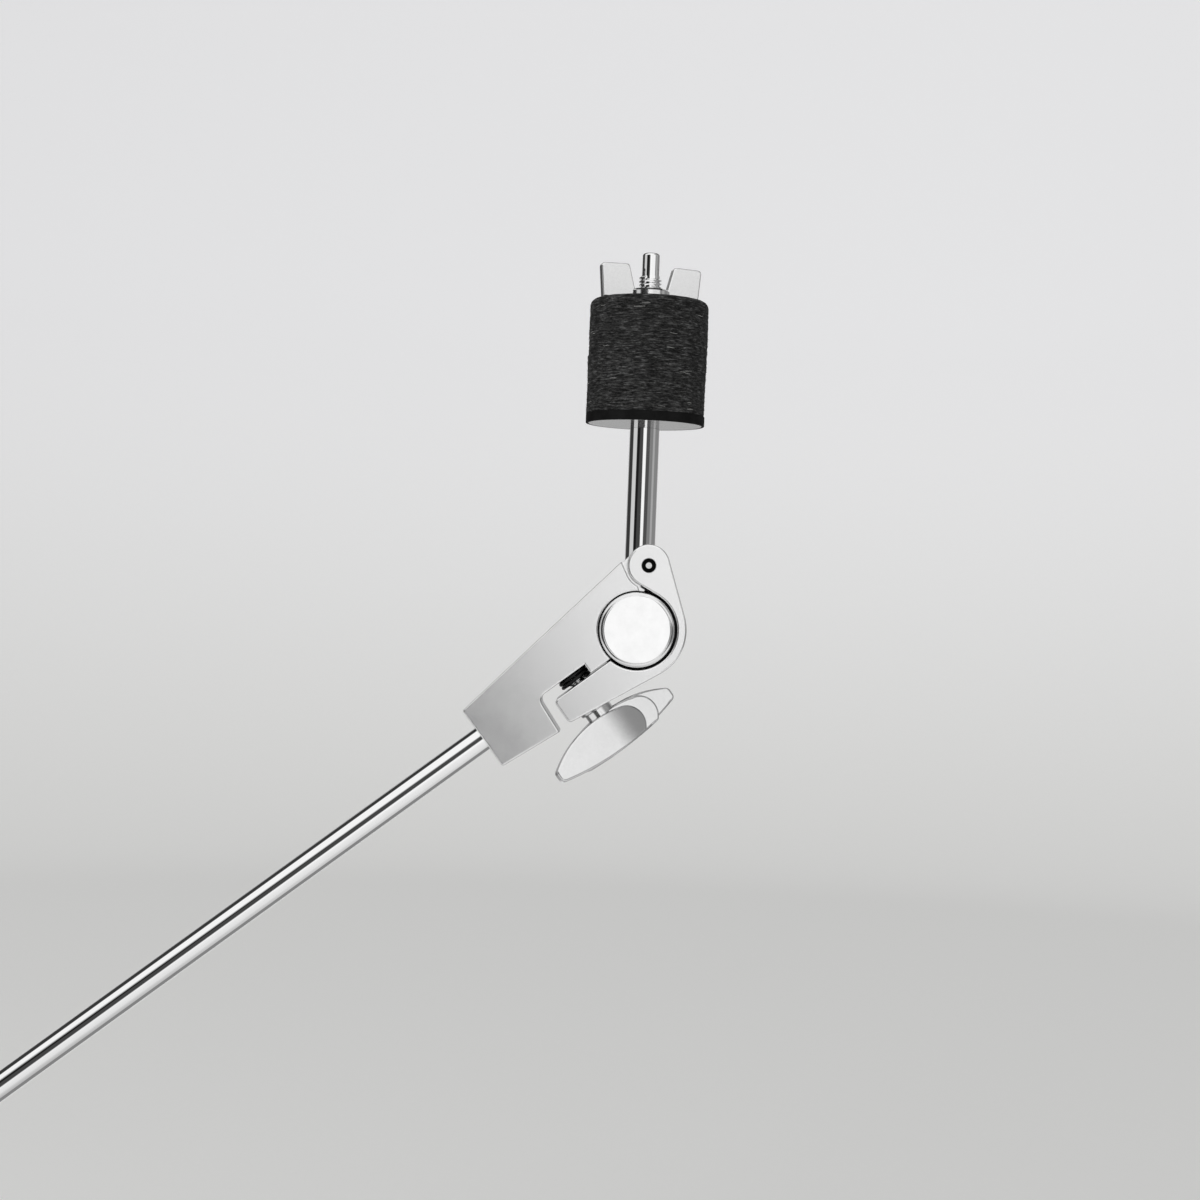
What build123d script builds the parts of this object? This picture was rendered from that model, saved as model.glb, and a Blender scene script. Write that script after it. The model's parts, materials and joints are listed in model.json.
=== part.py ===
"""Boom tilter for a cymbal stand: a clamp body on a boom rod, a hinged jaw closed by a
wing screw on a round tilt drum, and a tilter rod behind them that carries the cymbal
seat, felts and wing nut. Each separate piece is written to its own STEP file.

Millimetres. X is to the right, Y away from the viewer, Z up. The origin is on the boom
rod's axis near its free end, and the rod climbs to the right in the XZ plane."""

import os
from math import acos, asin, atan2, cos, degrees, hypot, radians, sin

from build123d import *

os.makedirs("parts", exist_ok=True)

# Frame of the clamp. U runs up the boom, V across it and W towards the viewer.
BOOM_SLOPE = 38.0
U = Vector(cos(radians(BOOM_SLOPE)), 0, sin(radians(BOOM_SLOPE)))
V = Vector(-sin(radians(BOOM_SLOPE)), 0, cos(radians(BOOM_SLOPE)))
W = Vector(0, -1, 0)

# Clearances
FIXED_GAP = 0.02
RUNNING_GAP = 0.05

# Boom rod and the pin that holds it
BOOM_R = 4.5
BOOM_TAIL = 20.0
BOOM_EXPOSED = 220.0
BOOM_SPIGOT_R = 3.5
BOOM_GRIP = 22.0
BOOM_OFFSET = 0.6
BOOM_PIN_R = 1.5
BOOM_PIN_DEPTH = 14.0
BOOM_PIN_FROM_END = 11.0

# Clamp body, as distances from the drum's axis
BODY_HALF = 9.0
BODY_END = 64.6
BODY_END_BOTTOM = -10.9
BODY_END_TOP = 12.5
BODY_HEEL = (-41.9, -12.8)
NOTCH_U = -41.0
NOTCH_TOP = 0.85
NOTCH_STEP_U = -21.5
NOTCH_FILLET = 3.0
SPLIT_V = -2.7
BODY_BORE_R = 13.4
CHEEK_TOP = (9.3, 22.0)
CHEEK_SIDE = (8.35, 17.3)
CHEEK_TIP = (9.0, 12.0)
CHEEK_FOOT = (7.9, 8.6)
CHEEK_RECESS_R = 8.1
EDGE = 0.6

# Hinge
HINGE = (16.2, 15.5)
TONGUE_HALF = 4.5
KNUCKLE_R = 7.0
TONGUE_SIDE = (9.65, 11.2)
TONGUE_FOOT = (10.3, 9.5)
HINGE_PIN_R = 2.5
HINGE_PIN_HALF = 8.8
HINGE_DIMPLE_R = 1.25
HINGE_DIMPLE_DEPTH = 1.0

# Jaw
LOBE_R = 7.25
JAW_OUTER_R = 17.0
JAW_BORE_R = 13.8
JAW_SLOT_R = 7.6
JAW_SLOT_HALF = 4.6
ARM_TOP = -3.2
ARM_END = -37.3
ARM_TIP = (-37.5, -12.3)
ARM_CORNER = 1.5

# Wing screw
SCREW_U = -27.2
SCREW_R = 3.0
SCREW_PITCH = 1.0
SCREW_REACH = 13.5
SCREW_SLOT_R = 3.4
SCREW_SLOT_TRAVEL = 1.4
SEAT_DROP = 13.0
WASHER_R = 6.0
WASHER_THICK = 1.2
COLLAR_R = 5.0
COLLAR_BOTTOM = 17.0
WING_YAW = 20.0
WING_TIP_TOP = (-26.8, -23.4)
WING_TIP_LOW = (-26.8, -27.4)
WING_CROWN = (-9.8, -17.0)
WING_KEEL = (-8.0, -30.4)
ROUND_END_V = -24.8
ROUND_END_R = 6.9
ROUND_END_TURN = (71, -50)
FRONT_END_U = 4.0
MIDDLE_END_U = 11.1
MIDDLE_CROWN = (0, -16.2)
MIDDLE_KEEL = (0, -30.9)
WING_LAYER = 3.9
WING_LAP = 0.25
WING_EDGE = 0.8
WING_CORNER = 1.8
SHANK_TOP = 10.0
STUD_BOTTOM = 27.0

# Spring between the body and the jaw's arm
SPRING_POCKET_R = 6.1
SPRING_POCKET_TOP = 6.1
SPRING_R = 5.2
SPRING_WIRE_R = 0.66
SPRING_PITCH = 1.44

# Threaded insert in the body
INSERT_R = 4.5
INSERT_LENGTH = 8.0
INSERT_GROOVE = 0.35
INSERT_RELIEF = 15.3

# Drum and its friction liners
JOURNAL_R = 11.5
FLANGE_R = 13.15
FLANGE_BACK = 4.7
FLANGE_FRONT = 9.3
DRUM_BACK = -9.65
CAP_R = 11.7
CAP_SEAT = 7.7
CAP_FRONT = 9.8
LINER_FRONT = 4.6
LINER_BACK = -8.8
BOLT_R = 3.0
BOLT_HEAD_R = 5.0
BOLT_SEAT = 1.2
BOLT_HEAD = 6.0
BOLT_END = -20.8
DOWEL_R = 1.5
DOWEL_OFFSET = 8.0
DOWEL_LENGTH = 9.0
DOWEL_HOLE = DOWEL_LENGTH / 2 + 0.2

# Head behind the drum
THRUST_FRONT = -9.05
THRUST_R = 15.2
HEAD_R = 15.5
HEAD_FRONT = -9.7
HEAD_BACK = -25.3
NECK_R = 7.5
NECK_TOP = 16.4

# Tilter rod, as heights over the drum's axis
POST_X = 0.5
POST_W = -17.5
ROD_R = 5.25
ROD_FOOT = 4.6
SHOULDER = 72.45
STUD_R = 4.0
STUD_PITCH = 1.25
THREAD_START = 103.0
THREAD_END = 125.3
TIP_R = 3.04
TIP_END = 133.4
ROD_PIN_R = 1.5
ROD_PIN_HEIGHT = 10.6

# Cymbal seat
DISC_R = 20.2
DISC_THICK = 0.8
RUBBER_R = 21.05
RUBBER_THICK = 2.5
SLEEVE_R = 6.0
SLEEVE_BORE_R = 4.15
SLEEVE_FLANGE_R = 9.0
SLEEVE_FLANGE = 2.0
SLEEVE_TOP = 112.0
FELT_R = 21.05
FELT_BORE_R = 6.2
FELT_THICK = 20.35
FELT_GAP = 0.05

# Wing nut
HUB_R = 7.0
HUB_TOP = 120.4
NUT_YAW = 18.0
NUT_EAR_HALF = 1.6
NUT_EDGE = 0.55
EAR_CORNER = 1.3
EAR_TOP_IN = (8.4, 129.0)
EAR_TOP_OUT = (18.8, 128.7)
EAR_FOOT_OUT = (17.8, 116.7)
EAR_FOOT_IN = (4.2, 116.7)
EAR_ROOT = (6.0, 120.0)

DRUM = U * (BOOM_EXPOSED + BODY_END) - V * BOOM_OFFSET
FRONT = Plane(origin=DRUM, x_dir=U, z_dir=W)
SCREW = Plane(origin=DRUM + U * SCREW_U, x_dir=U, z_dir=-V)
POST = Plane(origin=DRUM + W * POST_W + Vector(POST_X, 0, 0), x_dir=(1, 0, 0), z_dir=(0, 0, 1))
BOOM = Plane(origin=(0, 0, 0), x_dir=W, z_dir=U)


def bar(plane, start, end, radius, mode=Mode.ADD):
    """Adds or cuts a cylinder between two heights over a plane, in the part being built."""
    with BuildSketch(plane.offset(start), mode=Mode.PRIVATE) as disc:
        Circle(radius)
    extrude(disc.sketch, amount=end - start, mode=mode)


def ring(plane, start, end, outer, inner):
    """Adds a tube between two heights over a plane."""
    bar(plane, start, end, outer)
    bar(plane, start, end, inner, Mode.SUBTRACT)


def bar_at(u, v, start, end, radius, mode=Mode.ADD):
    """Adds or cuts a cylinder along W at a place on the clamp's front plane."""
    place = Plane(origin=DRUM + U * u + V * v, x_dir=U, z_dir=W)
    bar(place, start, end, radius, mode)


def rims(plane, height, radius):
    """The circular edges of one radius at one height over a plane."""
    level = plane.offset(height)
    return (
        edges()
        .filter_by(GeomType.CIRCLE)
        .filter_by(lambda e: abs(e.radius - radius) < 1e-3)
        .filter_by(lambda e: abs(level.to_local_coords(e.arc_center).Z) < 1e-3)
    )


def screw_thread(plane, start, end, major, pitch):
    """Adds a helical ridge on a bar that stands on the plane."""
    root = major - 0.613 * pitch
    foot = plane.offset(start)
    height = end - start
    helix = Helix(pitch, height, root, center=foot.origin, direction=plane.z_dir, mode=Mode.PRIVATE)
    outward = (helix @ 0) - foot.origin
    across = Plane(origin=helix @ 0, x_dir=outward, z_dir=helix % 0)
    with BuildSketch(across, mode=Mode.PRIVATE) as tooth:
        half_foot = 0.46 * pitch
        half_crest = 0.07 * pitch
        depth = major - root
        with BuildLine():
            Polyline(
                (-0.05, -half_foot),
                (depth, -half_crest),
                (depth, half_crest),
                (-0.05, half_foot),
                close=True,
            )
        make_face()
    sweep(tooth.sketch, path=helix, is_frenet=True)


def roll_pin(plane, start, end, radius):
    """A slotted spring pin."""
    ring(plane, start, end, radius, radius * 0.62)
    with BuildSketch(plane.offset(start), mode=Mode.PRIVATE) as slit:
        Rectangle(radius * 2.4, radius * 0.3, align=(Align.MIN, Align.CENTER))
    extrude(slit.sketch, amount=end - start, mode=Mode.SUBTRACT)


def save(part, name):
    part.label = name
    export_step(part, f"parts/{name}.step")


# Boom rod, from its free end to the spigot in the body
boom_pin_height = BOOM_EXPOSED + BOOM_PIN_FROM_END
BOOM_PIN = Plane(origin=U * boom_pin_height, x_dir=U, z_dir=W)
boom_end = BOOM_EXPOSED + BOOM_GRIP
with BuildPart() as boom_rod:
    bar(BOOM, -BOOM_TAIL, BOOM_EXPOSED - FIXED_GAP, BOOM_R)
    chamfer(rims(BOOM, -BOOM_TAIL, BOOM_R), 0.6)
    bar(BOOM, BOOM_EXPOSED - FIXED_GAP, boom_end, BOOM_SPIGOT_R)
    chamfer(rims(BOOM, boom_end, BOOM_SPIGOT_R), 0.6)
    bar(BOOM_PIN, -BOOM_R - 1, BOOM_R + 1, BOOM_PIN_R + FIXED_GAP, Mode.SUBTRACT)
save(boom_rod.part, "boom_rod")

# Pin through the rod, driven in from the back
with BuildPart() as boom_rod_pin:
    roll_pin(BOOM_PIN, -BODY_HALF + 0.2, -BODY_HALF + BOOM_PIN_DEPTH, BOOM_PIN_R)
save(boom_rod_pin.part, "boom_rod_pin")

# Clamp body
top_run = Vector(CHEEK_TOP[0] + BODY_END, CHEEK_TOP[1] - BODY_END_TOP).normalized()
top_normal = Vector(-top_run.Y, top_run.X)
hinge = Vector(*HINGE)
knuckle_top = hinge + top_normal * KNUCKLE_R
tongue_root = knuckle_top - top_run * 14

with BuildPart() as clamp_body:
    with BuildSketch(FRONT.offset(-BODY_HALF)) as body_outline:
        with BuildLine():
            Polyline(
                (-BODY_END, BODY_END_BOTTOM),
                BODY_HEEL,
                (NOTCH_U, NOTCH_TOP),
                (NOTCH_STEP_U, NOTCH_TOP),
                (NOTCH_STEP_U, SPLIT_V),
                (0, SPLIT_V),
                CHEEK_FOOT,
                CHEEK_TIP,
                CHEEK_SIDE,
                CHEEK_TOP,
                (-BODY_END, BODY_END_TOP),
                close=True,
            )
        make_face()
        corners = body_outline.vertices()
        inner_corner = corners.sort_by_distance((NOTCH_U, NOTCH_TOP))[0]
        fillet(inner_corner, NOTCH_FILLET)
        fillet(body_outline.vertices().sort_by(Axis.X)[:2], EDGE * 1.5)
        Circle(BODY_BORE_R, mode=Mode.SUBTRACT)
        with Locations(HINGE):
            Circle(CHEEK_RECESS_R, mode=Mode.SUBTRACT)
    extrude(amount=2 * BODY_HALF)
    outline = edges().filter_by_position(Axis.Y, -BODY_HALF - 0.01, -BODY_HALF + 0.01)
    outline += edges().filter_by_position(Axis.Y, BODY_HALF - 0.01, BODY_HALF + 0.01)
    fillet(outline, EDGE)
    with BuildSketch(FRONT.offset(-TONGUE_HALF)):
        with BuildLine():
            Polyline(
                (tongue_root.X, tongue_root.Y),
                (knuckle_top.X, knuckle_top.Y),
                HINGE,
                TONGUE_SIDE,
                TONGUE_FOOT,
                CHEEK_FOOT,
                (2, 15),
                close=True,
            )
        make_face()
        with Locations(HINGE):
            Circle(KNUCKLE_R)
        Circle(BODY_BORE_R, mode=Mode.SUBTRACT)
    extrude(amount=2 * TONGUE_HALF)
    bar_at(*HINGE, -BODY_HALF, BODY_HALF, HINGE_PIN_R + RUNNING_GAP, Mode.SUBTRACT)
    bar(BOOM, BOOM_EXPOSED - 1, boom_end + 0.5, BOOM_SPIGOT_R + FIXED_GAP, Mode.SUBTRACT)
    bar(BOOM_PIN, -BODY_HALF - 1, -BODY_HALF + BOOM_PIN_DEPTH, BOOM_PIN_R + FIXED_GAP, Mode.SUBTRACT)
    insert_top = SPRING_POCKET_TOP + INSERT_LENGTH
    bar(SCREW, -SPRING_POCKET_TOP, -SPLIT_V + 1, SPRING_POCKET_R, Mode.SUBTRACT)
    bar(SCREW, -insert_top, -SPRING_POCKET_TOP, INSERT_R + FIXED_GAP, Mode.SUBTRACT)
    bar(SCREW, -INSERT_RELIEF, -insert_top, SCREW_R + 0.3, Mode.SUBTRACT)
save(clamp_body.part, "clamp_body")

# Threaded insert that the wing screw pulls on
with BuildPart() as screw_insert:
    ring(SCREW, -insert_top, -SPRING_POCKET_TOP, INSERT_R, SCREW_R + RUNNING_GAP)
    for share in (0.25, 0.5, 0.75):
        groove = -SPRING_POCKET_TOP - share * INSERT_LENGTH
        with BuildSketch(SCREW.offset(groove - INSERT_GROOVE)):
            Circle(INSERT_R)
            Circle(INSERT_R - INSERT_GROOVE, mode=Mode.SUBTRACT)
        extrude(amount=2 * INSERT_GROOVE, mode=Mode.SUBTRACT)
save(screw_insert.part, "screw_insert")

# Jaw: lobe on the hinge, ring round the drum, arm under the body
reach = hypot(*HINGE)
bearing = degrees(atan2(HINGE[1], HINGE[0]))
right_side = bearing - degrees(acos((JAW_OUTER_R - LOBE_R) / reach))
left_side = bearing - degrees(acos((JAW_BORE_R + LOBE_R) / reach))
tip_bearing = degrees(atan2(ARM_TIP[1], ARM_TIP[0]))
under_side = tip_bearing + degrees(acos(JAW_OUTER_R / hypot(*ARM_TIP)))
arm_bearing = degrees(asin(-ARM_TOP / JAW_BORE_R)) - 180

with BuildPart() as clamp_jaw:
    with BuildSketch(FRONT.offset(-BODY_HALF)) as jaw_outline:
        with BuildLine():
            outer = CenterArc((0, 0), JAW_OUTER_R, under_side, right_side - under_side)
            lobe = CenterArc(HINGE, LOBE_R, right_side, 180 + left_side - right_side)
            bore = CenterArc((0, 0), JAW_BORE_R, left_side, arm_bearing - left_side)
            Line(outer @ 1, lobe @ 0)
            Line(lobe @ 1, bore @ 0)
            Polyline(bore @ 1, (ARM_END, ARM_TOP), ARM_TIP, outer @ 0)
        make_face()
        fillet(jaw_outline.vertices().sort_by(Axis.X)[:2], ARM_CORNER)
    extrude(amount=2 * BODY_HALF)
    outline = edges().filter_by_position(Axis.Y, -BODY_HALF - 0.01, -BODY_HALF + 0.01)
    outline += edges().filter_by_position(Axis.Y, BODY_HALF - 0.01, BODY_HALF + 0.01)
    fillet(outline, EDGE)
    bar_at(*HINGE, -JAW_SLOT_HALF, JAW_SLOT_HALF, JAW_SLOT_R, Mode.SUBTRACT)
    bar_at(*HINGE, -BODY_HALF, BODY_HALF, HINGE_PIN_R + FIXED_GAP, Mode.SUBTRACT)
    bar(SCREW, SEAT_DROP, SEAT_DROP + 4, WASHER_R + 0.5, Mode.SUBTRACT)
    with BuildSketch(SCREW):
        with Locations((-SCREW_SLOT_TRAVEL / 2, 0)):
            SlotCenterToCenter(SCREW_SLOT_TRAVEL, 2 * SCREW_SLOT_R)
    extrude(amount=SEAT_DROP + 1, mode=Mode.SUBTRACT)
save(clamp_jaw.part, "clamp_jaw")

# Hinge pin, with an upset ring round a small boss at each end
with BuildPart() as hinge_pin:
    bar_at(*HINGE, -HINGE_PIN_HALF, HINGE_PIN_HALF, HINGE_PIN_R)
    for side in (-1, 1):
        start = side * (HINGE_PIN_HALF - HINGE_DIMPLE_DEPTH)
        with BuildSketch(FRONT.offset(start)):
            with Locations(HINGE):
                Circle(HINGE_PIN_R - 0.25)
                Circle(HINGE_DIMPLE_R, mode=Mode.SUBTRACT)
        extrude(amount=side * HINGE_DIMPLE_DEPTH * 1.2, mode=Mode.SUBTRACT)
save(hinge_pin.part, "hinge_pin")


def liner(outer_r, first, last):
    """A friction liner between two angles round the drum."""
    with BuildSketch(FRONT.offset(LINER_BACK), mode=Mode.PRIVATE) as shell:
        with BuildLine():
            inside = CenterArc((0, 0), JOURNAL_R + RUNNING_GAP, first, last - first)
            outside = CenterArc((0, 0), outer_r - FIXED_GAP, first, last - first)
            Line(inside @ 0, outside @ 0)
            Line(inside @ 1, outside @ 1)
        make_face()
    extrude(shell.sketch, amount=LINER_FRONT - LINER_BACK)


with BuildPart() as body_liner:
    liner(BODY_BORE_R, 62, 186)
save(body_liner.part, "body_liner")

with BuildPart() as jaw_liner:
    liner(JAW_BORE_R, -134, 12)
save(jaw_liner.part, "jaw_liner")

# Spring, wound round the wing screw
spring_bottom = -ARM_TOP - SPRING_WIRE_R - 0.03
spring_top = -SPRING_POCKET_TOP + SPRING_WIRE_R + 0.03
with BuildPart() as jaw_spring:
    coil = Helix(
        SPRING_PITCH,
        spring_bottom - spring_top,
        SPRING_R,
        center=SCREW.offset(spring_top).origin,
        direction=SCREW.z_dir,
        mode=Mode.PRIVATE,
    )
    with BuildSketch(Plane(origin=coil @ 0, z_dir=coil % 0)):
        Circle(SPRING_WIRE_R)
    sweep(path=coil, is_frenet=True)
save(jaw_spring.part, "jaw_spring")

# Washer under the wing screw
with BuildPart() as wing_screw_washer:
    ring(SCREW, SEAT_DROP + FIXED_GAP, SEAT_DROP + WASHER_THICK, WASHER_R, SCREW_R + 0.2)
    chamfer(rims(SCREW, SEAT_DROP + WASHER_THICK, WASHER_R), 0.25)
save(wing_screw_washer.part, "wing_screw_washer")

# Wing screw casting: three lapped leaves on a collar
yaw = radians(WING_YAW)
LEAF = Plane(
    origin=SCREW.origin,
    x_dir=U * cos(yaw) - W * sin(yaw),
    z_dir=W * cos(yaw) + U * sin(yaw),
)


def round_end(centre_u, side):
    """Shoulder, bulge and foot of a leaf's round end, on the left (-1) or the right (1)."""
    points = []
    for turn in (ROUND_END_TURN[0], 0, ROUND_END_TURN[1]):
        out = centre_u + ROUND_END_R * cos(radians(turn))
        points.append((side * out, ROUND_END_V + ROUND_END_R * sin(radians(turn))))
    return points


def leaf(back, front, *arcs):
    """One leaf of the wing between two depths; a straight tip closes an open outline."""
    with BuildSketch(LEAF.offset(back)) as shape:
        with BuildLine():
            for arc in arcs:
                ThreePointArc(*arc)
            first, last = arcs[0][0], arcs[-1][-1]
            if first != last:
                Line(last, first)
        make_face()
        corners = [v for v in shape.vertices() if v.Y < ROUND_END_V or abs(v.X) > 20]
        fillet(corners, WING_CORNER)
    blade = extrude(shape.sketch, amount=front - back)
    for depth in (back, front):
        level = LEAF.offset(depth)
        rim = blade.edges().filter_by(lambda e: abs(level.to_local_coords(e @ 0.5).Z) < 1e-4)
        blade = fillet(rim, WING_EDGE)
    return blade


def tipped_leaf(back, front, side):
    """An outer leaf, whose tip is on the left (-1) or the right (1)."""
    shoulder, bulge, foot = round_end(FRONT_END_U, -side)
    tip_top, tip_low, crown, keel = (
        (-side * u, v) for u, v in (WING_TIP_TOP, WING_TIP_LOW, WING_CROWN, WING_KEEL)
    )
    return leaf(
        back,
        front,
        (tip_top, crown, shoulder),
        (shoulder, bulge, foot),
        (foot, keel, tip_low),
    )


half = WING_LAYER / 2
shoulder_r, bulge_r, foot_r = round_end(MIDDLE_END_U, 1)
shoulder_l, bulge_l, foot_l = round_end(MIDDLE_END_U, -1)
leaves = [
    tipped_leaf(half - WING_LAP, half + WING_LAYER - WING_LAP, -1),
    leaf(
        -half,
        half,
        (shoulder_l, MIDDLE_CROWN, shoulder_r),
        (shoulder_r, bulge_r, foot_r),
        (foot_r, MIDDLE_KEEL, foot_l),
        (foot_l, bulge_l, shoulder_l),
    ),
    tipped_leaf(-half - WING_LAYER + WING_LAP, WING_LAP - half, 1),
]
with BuildPart() as wing_screw:
    add(leaves)
    bar(SCREW, SEAT_DROP + WASHER_THICK + FIXED_GAP, COLLAR_BOTTOM, COLLAR_R)
    bar(SCREW, SEAT_DROP, STUD_BOTTOM + 0.1, SCREW_R + FIXED_GAP, Mode.SUBTRACT)
save(wing_screw.part, "wing_screw")

# Stud cast into the wing screw
with BuildPart() as wing_screw_stud:
    core = SCREW_R - 0.6 * SCREW_PITCH
    bar(SCREW, -SCREW_REACH, SHANK_TOP, core)
    screw_thread(SCREW, -SCREW_REACH + SCREW_PITCH, SHANK_TOP - 2 * SCREW_PITCH, SCREW_R, SCREW_PITCH)
    bar(SCREW, SHANK_TOP, STUD_BOTTOM, SCREW_R)
save(wing_screw_stud.part, "wing_screw_stud")

# Tilt drum
with BuildPart() as tilt_drum:
    bar(FRONT, DRUM_BACK, FLANGE_BACK, JOURNAL_R)
    bar(FRONT, FLANGE_BACK, FLANGE_FRONT, FLANGE_R)
    fillet(rims(FRONT, FLANGE_FRONT, FLANGE_R), 1.5)
    bar(FRONT, CAP_SEAT, FLANGE_FRONT, CAP_R + FIXED_GAP, Mode.SUBTRACT)
    bar(FRONT, BOLT_SEAT, CAP_SEAT, BOLT_HEAD_R + 0.3, Mode.SUBTRACT)
    bar(FRONT, DRUM_BACK, BOLT_SEAT, BOLT_R + 0.2, Mode.SUBTRACT)
    bar_at(0, -DOWEL_OFFSET, DRUM_BACK, DRUM_BACK + DOWEL_HOLE, DOWEL_R + FIXED_GAP, Mode.SUBTRACT)
save(tilt_drum.part, "tilt_drum")

# Bright cap over the drum's bolt
with BuildPart() as drum_cap:
    bar(FRONT, CAP_SEAT + FIXED_GAP, CAP_FRONT, CAP_R)
    fillet(rims(FRONT, CAP_FRONT, CAP_R), 0.45)
save(drum_cap.part, "drum_cap")

# Socket-head bolt that holds the head on the drum
with BuildPart() as drum_bolt:
    bar(FRONT, BOLT_SEAT, BOLT_SEAT + BOLT_HEAD, BOLT_HEAD_R)
    chamfer(rims(FRONT, BOLT_SEAT + BOLT_HEAD, BOLT_HEAD_R), 0.4)
    with BuildSketch(FRONT.offset(BOLT_SEAT + BOLT_HEAD)):
        RegularPolygon(2.5, 6, major_radius=False)
    extrude(amount=-3, mode=Mode.SUBTRACT)
    bar(FRONT, BOLT_END, BOLT_SEAT, BOLT_R)
    chamfer(rims(FRONT, BOLT_END, BOLT_R), 0.5)
save(drum_bolt.part, "drum_bolt")

# Dowel that stops the head turning on the drum
with BuildPart() as drum_dowel:
    middle = (DRUM_BACK + HEAD_FRONT) / 2
    bar_at(0, -DOWEL_OFFSET, middle - DOWEL_LENGTH / 2, middle + DOWEL_LENGTH / 2, DOWEL_R)
save(drum_dowel.part, "drum_dowel")

# Thrust washer between the clamp's back and the head
with BuildPart() as thrust_washer:
    ring(FRONT, HEAD_FRONT + FIXED_GAP, THRUST_FRONT, THRUST_R, JOURNAL_R + 0.1)
save(thrust_washer.part, "thrust_washer")

# Head on the drum's back, with the neck that takes the tilter rod
ROD_PIN = Plane(origin=DRUM + Vector(POST_X, 0, ROD_PIN_HEIGHT), x_dir=(1, 0, 0), z_dir=W)
with BuildPart() as rod_head:
    bar(FRONT, HEAD_BACK, HEAD_FRONT, HEAD_R)
    fillet(rims(FRONT, HEAD_BACK, HEAD_R), 2.0)
    chamfer(rims(FRONT, HEAD_FRONT, HEAD_R), 0.4)
    bar(POST, 2, NECK_TOP, NECK_R)
    chamfer(rims(POST, NECK_TOP, NECK_R), 0.6)
    bar(POST, ROD_FOOT - 0.2, NECK_TOP, ROD_R + FIXED_GAP, Mode.SUBTRACT)
    bar(FRONT, BOLT_END - 0.4, HEAD_FRONT, BOLT_R + RUNNING_GAP, Mode.SUBTRACT)
    bar_at(0, -DOWEL_OFFSET, HEAD_FRONT - DOWEL_HOLE, HEAD_FRONT, DOWEL_R + FIXED_GAP, Mode.SUBTRACT)
    bar(ROD_PIN, HEAD_BACK, HEAD_FRONT, ROD_PIN_R + FIXED_GAP, Mode.SUBTRACT)
save(rod_head.part, "rod_head")

# Tilter rod, stepped and threaded for the cymbal
with BuildPart() as tilter_rod:
    bar(POST, ROD_FOOT, SHOULDER, ROD_R)
    chamfer(rims(POST, ROD_FOOT, ROD_R), 0.5)
    bar(POST, SHOULDER, THREAD_START, STUD_R - 0.1)
    bar(POST, THREAD_START, THREAD_END, STUD_R - 0.6 * STUD_PITCH)
    screw_thread(POST, THREAD_START - 0.4, THREAD_END - 0.6, STUD_R, STUD_PITCH)
    bar(POST, THREAD_END, TIP_END, TIP_R)
    fillet(rims(POST, TIP_END, TIP_R), 0.9)
    bar(ROD_PIN, HEAD_BACK, HEAD_FRONT, ROD_PIN_R + FIXED_GAP, Mode.SUBTRACT)
save(tilter_rod.part, "tilter_rod")

with BuildPart() as tilter_rod_pin:
    roll_pin(ROD_PIN, HEAD_BACK + 0.3, HEAD_FRONT - 0.4, ROD_PIN_R)
save(tilter_rod_pin.part, "tilter_rod_pin")

# Cymbal seat, from the bottom up
disc_top = SHOULDER + DISC_THICK
rubber_top = disc_top + RUBBER_THICK
lower_top = rubber_top + FELT_THICK
upper_bottom = lower_top + FELT_GAP
upper_top = rubber_top + 2 * FELT_THICK

with BuildPart() as seat_disc:
    ring(POST, SHOULDER, disc_top, DISC_R, STUD_R + 0.1)
    fillet(rims(POST, SHOULDER, DISC_R), 0.3)
save(seat_disc.part, "seat_disc")

with BuildPart() as seat_rubber:
    ring(POST, SHOULDER, rubber_top, RUBBER_R, SLEEVE_FLANGE_R + 0.3)
    fillet(rims(POST, SHOULDER, RUBBER_R), 0.3)
    bar(POST, SHOULDER, disc_top, DISC_R + FIXED_GAP, Mode.SUBTRACT)
save(seat_rubber.part, "seat_rubber")

with BuildPart() as cymbal_sleeve:
    bar(POST, disc_top, disc_top + SLEEVE_FLANGE, SLEEVE_FLANGE_R)
    bar(POST, disc_top, SLEEVE_TOP, SLEEVE_R)
    chamfer(rims(POST, SLEEVE_TOP, SLEEVE_R), 0.5)
    bar(POST, disc_top, SLEEVE_TOP, SLEEVE_BORE_R, Mode.SUBTRACT)
save(cymbal_sleeve.part, "cymbal_sleeve")

with BuildPart() as lower_felt:
    ring(POST, rubber_top, lower_top, FELT_R, FELT_BORE_R)
save(lower_felt.part, "lower_felt")

with BuildPart() as upper_felt:
    ring(POST, upper_bottom, upper_top, FELT_R, FELT_BORE_R)
    fillet(rims(POST, upper_top, FELT_R), 2.4)
save(upper_felt.part, "upper_felt")

# Wing nut
nut_yaw = radians(NUT_YAW)
EARS = Plane(
    origin=POST.origin,
    x_dir=(cos(nut_yaw), sin(nut_yaw), 0),
    z_dir=(sin(nut_yaw), -cos(nut_yaw), 0),
)
nut_bottom = upper_top + FELT_GAP


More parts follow.
